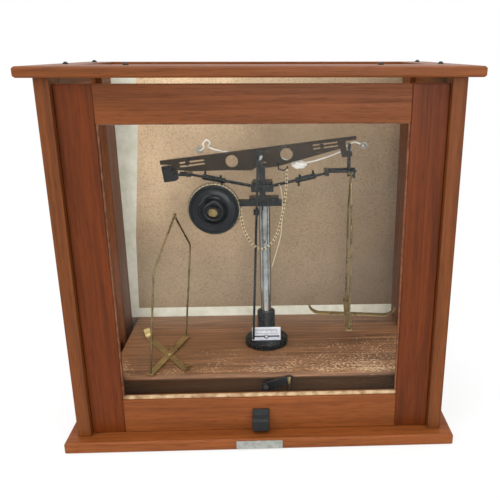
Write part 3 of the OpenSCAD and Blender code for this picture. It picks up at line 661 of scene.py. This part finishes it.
def eyelet(name, centre, turn, material):
    """A pressed eyelet with a rounded rim, facing the front."""
    work = bmesh.new()
    for i in range(28):
        a = 2 * math.pi * i / 28
        for k in range(8):
            b = 2 * math.pi * k / 8
            reach = 3.0 + 1.35 * math.cos(b)
            work.verts.new(Vector((
                reach * math.cos(a) * 1.12, 0.62 * math.sin(b), reach * math.sin(a) * 0.94)) * MM)
    work.verts.ensure_lookup_table()
    for i in range(28):
        for k in range(8):
            a, b = i * 8, (i + 1) % 28 * 8
            work.faces.new([work.verts[n] for n in (a + k, b + k, b + (k + 1) % 8, a + (k + 1) % 8)])
    bmesh.ops.rotate(work, matrix=Matrix.Rotation(math.radians(turn), 3, "Z"), verts=work.verts)
    bmesh.ops.translate(work, vec=Vector(centre) * MM, verts=work.verts)
    return finished(name, work, material, True)


def chain(name, course, turn_side, bright):
    """Oval links along a course, each one turned a quarter from the last; every second one is painted dark as
    shade, the rest bright as lit links.
    """
    pitch = look().link_pitch
    radius = look().link_wire / 2
    count = int(course_length(course) / pitch)
    work = bmesh.new()
    segment, walked = 0, 0.0
    for i in range(count):
        distance = (i + 0.5) * pitch
        along = course[segment + 1] - course[segment]
        while segment < len(course) - 2 and walked + along.length < distance:
            walked += along.length
            segment += 1
            along = course[segment + 1] - course[segment]
        place = course[segment] + along.normalized() * (distance - walked)
        side = turn_side(place)
        if i % 2:
            side = along.cross(side)
        # Every second link is painted dark as shade; bright shifts which half are the lit links.
        add_link(work, place, along, side, pitch * 0.62, pitch * 0.46, radius, (i + bright) % 2)
    links = finished(name, work, chain_brass(), True)
    # The beam's dark bronze serves here as painted shade on every second link.
    links.data.materials.append(bronzed_brass())
    return links


def plates(name, boxes, material):
    """One mesh of plain boxes, each given as its lowest and highest corner in metres."""
    work = bmesh.new()
    for low, high in boxes:
        low, high = Vector(low), Vector(high)
        made = bmesh.ops.create_cube(work, size=1.0)
        bmesh.ops.scale(work, vec=high - low, verts=made["verts"])
        bmesh.ops.translate(work, vec=(low + high) / 2, verts=made["verts"])
    return finished(name, work, material)


class Piece(bpy.types.Operator):
    """Makes one piece of the balance."""

    bl_options = {"REGISTER", "UNDO"}


class BALANCE_OT_boards(Piece):
    """Dress the posts, sills, heads, plinth and top board"""

    bl_idname = "balance.boards"
    bl_label = "Case boards"

    def execute(self, context):
        for end in ("front", "rear"):
            for hand in ("left", "right"):
                eased(f"post_{end}_{hand}", varnished_mahogany("post", "Z"), "wood_rail")
        for rail in ("sill", "head"):
            for hand in ("left", "right"):
                eased(f"side_{rail}_{hand}", varnished_mahogany("shaded", "Y"), "wood_rail")
        eased("plinth", varnished_mahogany("plinth", "X"), "wood_plinth")
        for node in ("top_strip", "top_frame"):
            eased(node, varnished_mahogany("head", "X"), "wood_rail", ease=0.5 * MM)
        return {"FINISHED"}


class BALANCE_OT_sash(Piece):
    """Dress the rising front sash with its bead and finger pull"""

    bl_idname = "balance.sash"
    bl_label = "Front sash"

    def execute(self, context):
        for hand in ("left", "right"):
            eased(f"sash_stile_{hand}", varnished_mahogany("stile", "Z"), "wood_stile")
        for end, tone in (("top", "head"), ("bottom", "rail")):
            eased(f"sash_rail_{end}", varnished_mahogany(tone, "X"), "wood_rail")
        paint("sash_bead", glazing_bead())
        eased("sash_pull", moulded_rubber(), "rubber", ease=0.9 * MM, sharp=0.3, segments=3)
        paint("sash_glass", sheet_glass())
        return {"FINISHED"}


class BALANCE_OT_case_fittings(Piece):
    """Dress the panes, back panel, tape, screws and blank name plate"""

    bl_idname = "balance.case_fittings"
    bl_label = "Panes and back"

    def execute(self, context):
        for node in ("side_glass_left", "side_glass_right", "top_glass"):
            paint(node, sheet_glass())
        paint("back_panel", hardboard())
        paint("back_tape", gummed_tape())
        paint("top_screws", japanned())
        eased("name_plate", plate_metal(), "label", ease=0.2 * MM)
        return {"FINISHED"}


class BALANCE_OT_inner_floor(Piece):
    """Dress the worn inner floor and what carries it"""

    bl_idname = "balance.inner_floor"
    bl_label = "Inner floor"

    def execute(self, context):
        paint("floor_board", worn_floor_varnish())
        paint("floor_bearers", varnished_mahogany("shaded_trough", "X"))
        return {"FINISHED"}


class BALANCE_OT_column(Piece):
    """Dress the foot, sleeve, column, bar and head, and rule the graduated plate"""

    bl_idname = "balance.column"
    bl_label = "Column and plate"

    def execute(self, context):
        for node in ("foot_disc", "sleeve", "cross_bar", "pillar_head"):
            eased(node, japanned(), "black", ease=0.4 * MM, sharp=0.6)
        paint("column", nickel_plate())
        paint("agate_planes", polished_agate())
        paint("wheel_axle", bright_steel())
        eased("scale_plate", white_enamel(), "plate", ease=0.2 * MM, sharp=0.6)
        self.print_plate()
        return {"FINISHED"}

    def print_plate(self):
        """Prints the divisions: short ticks above, one bold bar below with a stop at each end."""
        low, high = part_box("scale_plate")
        middle, face = (low.x + high.x) / 2, low.y + 0.9 * MM
        half = (high.x - low.x) / 2 - 2 * MM
        tick_top, bar_z, bar_h = high.z - 2.2 * MM, low.z + BAR_HEIGHT * MM, BAR * MM
        step = half / 12
        areas = [
            (x * step, 0.22 * MM, tick_top - (SHORT_TICK if x % 5 else LONG_TICK) * MM, tick_top)
            for x in range(-10, 11)]
        areas += [(0, half, bar_z, bar_z + bar_h), (0, half, tick_top - 6.4 * MM, tick_top - 6.1 * MM)]
        areas += [(end * half, 0.35 * MM, bar_z - 1.6 * MM, bar_z + 2.5 * MM) for end in (-1, 1)]
        areas += [(0, wide * MM, bar_z + (0.45 - tall) * MM, bar_z + (0.45 + tall) * MM)
                  for wide, tall in ((3.4, 1.2), (2.6, 2.0), (1.5, 2.8))]
        marks = [((middle + x - wide, face - 0.12 * MM, z0), (middle + x + wide, face + 0.1 * MM, z1))
                 for x, wide, z0, z1 in areas]
        seat(plates("scale_divisions", marks, printed_ink()), "case", "black")


class BALANCE_OT_arrest(Piece):
    """Dress the arrest hub and its two arms"""

    bl_idname = "balance.arrest"
    bl_label = "Arrest"

    def execute(self, context):
        eased("arrest_hub", japanned(), "black", ease=0.5 * MM)
        for hand in ("left", "right"):
            paint(f"arrest_arm_{hand}", japanned())
        return {"FINISHED"}


class BALANCE_OT_beam(Piece):
    """Dress the beam, its knives, end blocks and hook"""

    bl_idname = "balance.beam"
    bl_label = "Beam"

    def execute(self, context):
        eased("beam", bronzed_brass(), "bronze", ease=0.3 * MM, sharp=0.6)
        for node in ("beam_knife", "beam_end_right"):
            paint(node, bright_steel())
        eased("beam_end_left", japanned(), "black", ease=0.5 * MM)
        paint("chain_hook", japanned())
        return {"FINISHED"}


class BALANCE_OT_pointer(Piece):
    """Dress the pointer and its clamp screw"""

    bl_idname = "balance.pointer"
    bl_label = "Pointer"

    def execute(self, context):
        paint("pointer", japanned())
        paint("pointer_screw", japanned())
        return {"FINISHED"}


class BALANCE_OT_wheel(Piece):
    """Dress the chain wheel, mill its rim and wind the chain on it"""

    bl_idname = "balance.wheel"
    bl_label = "Chain wheel"

    def execute(self, context):
        eased("chain_wheel", moulded_ebonite(), "black", ease=0.25 * MM, sharp=0.6)
        paint("wheel_screw", old_brass())
        low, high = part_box("chain_wheel")
        centre = (low + high) / 2
        self.mill_rim(centre, (high.x - low.x) / 2 + 0.6 * MM, high.y - 0.5 * MM)
        low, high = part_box("wound_chain")
        width = WOUND_WIDTH * MM
        radius, rise = (high.x - low.x - width) / 2, high.y - low.y - width
        steps = 192
        course = []
        for i in range(steps + 1):
            a = 2 * math.pi * WOUND_TURNS * i / steps
            course.append(Vector((
                centre.x + math.cos(a) * radius, low.y + width / 2 + rise * i / steps,
                centre.z - math.sin(a) * radius)))
        hub = Vector((centre.x, 0, centre.z))
        wound = chain("wound_links", course, lambda p: Vector((p.x, 0, p.z)) - hub, 0)
        seat(wound, "wheel", "chain", "wound_chain")
        return {"FINISHED"}

    def mill_rim(self, centre, radius, y):
        """Stands square teeth round the rear flange."""
        work = bmesh.new()
        for i in range(TEETH):
            made = bmesh.ops.create_cube(work, size=1.0)
            bmesh.ops.scale(work, vec=Vector(TOOTH) * MM, verts=made["verts"])
            bmesh.ops.translate(work, vec=(0, y - centre.y, radius), verts=made["verts"])
            turned = Matrix.Rotation(2 * math.pi * i / TEETH, 3, "Y")
            bmesh.ops.rotate(work, matrix=turned, verts=made["verts"])
        bmesh.ops.translate(work, vec=centre, verts=work.verts)
        seat(finished("rim_teeth", work, japanned()), "wheel", "black")


class BALANCE_OT_slack_chain(Piece):
    """Hang the slack chain from the wheel to the hook under the beam"""

    bl_idname = "balance.slack_chain"
    bl_label = "Slack chain"

    def execute(self, context):
        course = smooth_way(CHAIN_WAY)
        slack = chain("slack_links", course, lambda p: Vector((0, 1, 0)), 1)
        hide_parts("free_chain")
        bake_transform(slack)
        return {"FINISHED"}


class BALANCE_OT_hangers(Piece):
    """Dress both wire bows with their cross straps and the stirrup"""

    bl_idname = "balance.hangers"
    bl_label = "Hangers"

    def execute(self, context):
        for hand, (place, turn, lean, up) in BOWS.items():
            course = self.bow_course()
            moved = (
                Matrix.Translation(Vector(place) * MM) @ Matrix.Rotation(math.radians(turn), 4, "Z")
                @ Matrix.Rotation(math.radians(lean), 4, "Y") @ Matrix.Translation((0, 0, up * MM)))
            bow = wire(f"{hand}_bow_wire", [moved @ p for p in course], BOW_WIRE / 2 * MM, old_brass())
            seat(bow, f"{hand}_hanger", "brass", f"{hand}_bow")
            eased(f"{hand}_cross", rubbed_brass(), "brass", ease=0.25 * MM, sharp=0.35)
        eased("right_stirrup", japanned(), "black", ease=0.2 * MM, sharp=0.6)
        return {"FINISHED"}

    def bow_course(self):
        """One wire: up a leg, in at the bend, round the eye and down the other leg."""
        knee = BOW_KNEE - BOW_HEIGHT
        leg = [
            (BOW_HALF, -BOW_HEIGHT - 0.6), (BOW_HALF, knee - 12), (BOW_HALF - 0.4, knee - 5),
            (BOW_HALF - 4, knee)]
        eye = [(BOW_EYE * math.cos(math.radians(a)), BOW_EYE * math.sin(math.radians(a)))
               for a in range(-40, 221, 20)]
        flat = leg + eye + [(-y, z) for y, z in reversed(leg)]
        return rounded([Vector((0, y, z)) * MM for y, z in flat])


class BALANCE_OT_release(Piece):
    """Dress the release shaft, its arm and its grip"""

    bl_idname = "balance.release"
    bl_label = "Release handle"

    def execute(self, context):
        paint("release_shaft", bright_steel())
        eased("handle_arm", japanned(), "black", ease=0.6 * MM, sharp=0.6)
        eased("handle_pin", old_brass(), "brass", ease=0.4 * MM, sharp=0.6)
        return {"FINISHED"}


class BALANCE_OT_ties(Piece):
    """Lay the white tie cord, its tags and wrap, and the loose thread"""

    bl_idname = "balance.ties"
    bl_label = "Ties and thread"

    def execute(self, context):
        white = cotton("twisted_white_cotton", "#D2CFC4", "#F4F2EB")
        left = eyelet("tie_eyelet_left", (-69.5, 9.6, 324), 14, plate_metal())
        right = eyelet("tie_eyelet_right", (127, 7.6, 328), -12, plate_metal())
        for tag in (left, right):
            seat(tag, "beam", "cord")
        width = look().cord_width
        first = self.lay(
            "tie_cord_left", tuple(reversed(TIE_LEFT)), width, white, "beam", "cord", "fitting", left)
        self.lay("tie_cord_right", TIE_RIGHT, width, white, "beam", "cord", "fitting", right)
        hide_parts("tie_cord")
        thin = cotton("pale_thread", "#B5AC90", "#DCD5BC")
        strand = self.lay("loose_thread_strand", THREAD_WAY, 1.0 * MM, thin, "arrest", "thread", "bare")
        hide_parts("loose_thread")
        self.crumple(white)
        return {"FINISHED"}

    def lay(self, name, way, width, material, body, slot, far_end, *on_it):
        """Lays one cord along its course from where it leaves the balance."""
        course = smooth_way(way)
        cord = wire(name, course, width / 2, material)
        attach(cord, body)
        return cord

    def crumple(self, material):
        """Wads the spare cord round the beam in irregular folds."""
        low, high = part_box("tie_wrap")
        draw = random.Random(7)
        work = bmesh.new()
        bmesh.ops.create_icosphere(work, subdivisions=5, radius=1.0)
        folds = [(Vector((draw.uniform(-1, 1), draw.uniform(-1, 1), draw.uniform(-1, 1))).normalized(),
                  draw.uniform(6, 15), draw.uniform(0, 6)) for _ in range(11)]
        size = (high - low) * 0.44
        for vertex in work.verts:
            ripple = sum(math.sin(axis.dot(vertex.co) * rate + start) for axis, rate, start in folds)
            vertex.co *= 1 + 0.42 * ripple / len(folds)
            vertex.co = Vector((vertex.co.x * size.x, vertex.co.y * size.y, vertex.co.z * size.z))
        bmesh.ops.translate(work, vec=(low + high) / 2, verts=work.verts)
        seat(finished("tie_wrap_folds", work, material, True), "beam", "cord", "tie_wrap")


class BALANCE_OT_stage(Piece):
    """Set the pale floor, the soft lamps and the camera"""

    bl_idname = "balance.stage"
    bl_label = "Stage"

    def execute(self, context):
        scene = context.scene
        scene.view_settings.view_transform = "Standard"
        self.roll_out_floor()
        self.light_world(scene)
        for name, (place, size, energy) in LAMPS.items():
            lamp = bpy.data.lights.new(name, "AREA")
            lamp.size = size
            lamp.energy = energy
            thing = bpy.data.objects.new(name, lamp)
            scene.collection.objects.link(thing)
            thing.location = place
            thing.rotation_euler = (Vector((0, 0, 0.2)) - Vector(place)).to_track_quat("-Z", "Y").to_euler()
        self.set_camera(scene)
        return {"FINISHED"}

    def seen_straight(self, tree):
        """One for camera, glossy and transmission rays, and nought for the rest."""
        path = add(tree, "ShaderNodeLightPath")
        first = add(
            tree, "ShaderNodeMath",
            links={0: path.outputs["Is Camera Ray"], 1: path.outputs["Is Glossy Ray"]}, operation="MAXIMUM")
        every = add(
            tree, "ShaderNodeMath",
            links={0: first.outputs[0], 1: path.outputs["Is Transmission Ray"]}, operation="MAXIMUM")
        return every.outputs[0]

    def roll_out_floor(self):
        """White paper: plain white where it is seen, with the soft shadow of the case kept near it."""
        reach = 6.0
        mesh = bpy.data.meshes.new("studio_floor")
        mesh.from_pydata(
            [(-reach, -reach, 0), (reach, -reach, 0), (reach, reach, 0), (-reach, reach, 0)], [],
            [(0, 1, 2, 3)])
        paper, tree, surface = blank("white_paper_roll", roughness=0.9)
        surface.inputs["Base Color"].default_value = (0.86, 0.86, 0.86, 1)
        where = add(tree, "ShaderNodeTexCoord")
        distance = add(tree, "ShaderNodeVectorMath", links={0: where.outputs["Object"]}, operation="LENGTH")
        whiter = add(
            tree, "ShaderNodeMapRange", {"From Min": 0.3, "From Max": 0.75, "To Min": 0.72, "To Max": 1.0},
            {"Value": distance.outputs["Value"]})
        share = add(
            tree, "ShaderNodeMath", links={0: self.seen_straight(tree), 1: whiter.outputs["Result"]},
            operation="MULTIPLY")
        white = add(tree, "ShaderNodeEmission", {"Color": (1, 1, 1, 1), "Strength": 1.0})
        pick = add(
            tree, "ShaderNodeMixShader",
            links={0: share.outputs[0], 1: surface.outputs[0], 2: white.outputs[0]})
        tree.links.new(pick.outputs[0], tree.nodes["Material Output"].inputs["Surface"])
        link_object("studio_floor", mesh, paper)

    def light_world(self, scene):
        """A soft even sky that is plain white where it is seen."""
        scene.world = bpy.data.worlds.new("studio_world")
        scene.world.use_nodes = True
        tree = scene.world.node_tree
        tree.nodes.clear()
        soft = add(tree, "ShaderNodeBackground", {"Color": (1, 1, 1, 1), "Strength": 0.55})
        plain = add(tree, "ShaderNodeBackground", {"Color": (1, 1, 1, 1), "Strength": 1.0})
        pick = add(
            tree, "ShaderNodeMixShader",
            links={0: self.seen_straight(tree), 1: soft.outputs[0], 2: plain.outputs[0]})
        add(tree, "ShaderNodeOutputWorld", links={"Surface": pick.outputs[0]})

    def set_camera(self, scene):
        """A camera at the photograph's place, a little above the case and left of its middle."""
        lens = bpy.data.cameras.new("photo_camera")
        lens.sensor_width = 36
        lens.lens = LENS
        lens.shift_x, lens.shift_y = SHIFT
        camera = bpy.data.objects.new("photo_camera", lens)
        scene.collection.objects.link(camera)
        camera.location = CAMERA_PLACE
        camera.rotation_euler = (math.pi / 2 - TILT, 0, TURN)
        scene.camera = camera


STEPS = (
    BALANCE_OT_stage, BALANCE_OT_boards, BALANCE_OT_sash, BALANCE_OT_case_fittings, BALANCE_OT_inner_floor,
    BALANCE_OT_column, BALANCE_OT_arrest, BALANCE_OT_beam, BALANCE_OT_pointer, BALANCE_OT_wheel,
    BALANCE_OT_slack_chain, BALANCE_OT_hangers, BALANCE_OT_release, BALANCE_OT_ties,
)


class BALANCE_PT_panel(bpy.types.Panel):
    """Lists the pieces and the finish of the balance"""

    bl_idname = "BALANCE_PT_panel"
    bl_label = "Glazed balance"
    bl_space_type = "VIEW_3D"
    bl_region_type = "UI"
    bl_category = "Balance"

    def draw(self, context):
        for key in BalanceLook.__annotations__:
            self.layout.prop(context.scene.balance_look, key)
        for step in STEPS:
            self.layout.operator(step.bl_idname)


CLASSES = (BalanceLook,) + STEPS + (BALANCE_PT_panel,)


def register():
    for made in CLASSES:
        bpy.utils.register_class(made)
    bpy.types.Scene.balance_look = bpy.props.PointerProperty(type=BalanceLook)


def unregister():
    del bpy.types.Scene.balance_look
    for made in reversed(CLASSES):
        bpy.utils.unregister_class(made)


def main():
    register()
    for step in STEPS:
        group, name = step.bl_idname.split(".")
        getattr(getattr(bpy.ops, group), name)()


if __name__ == "__main__":
    main()
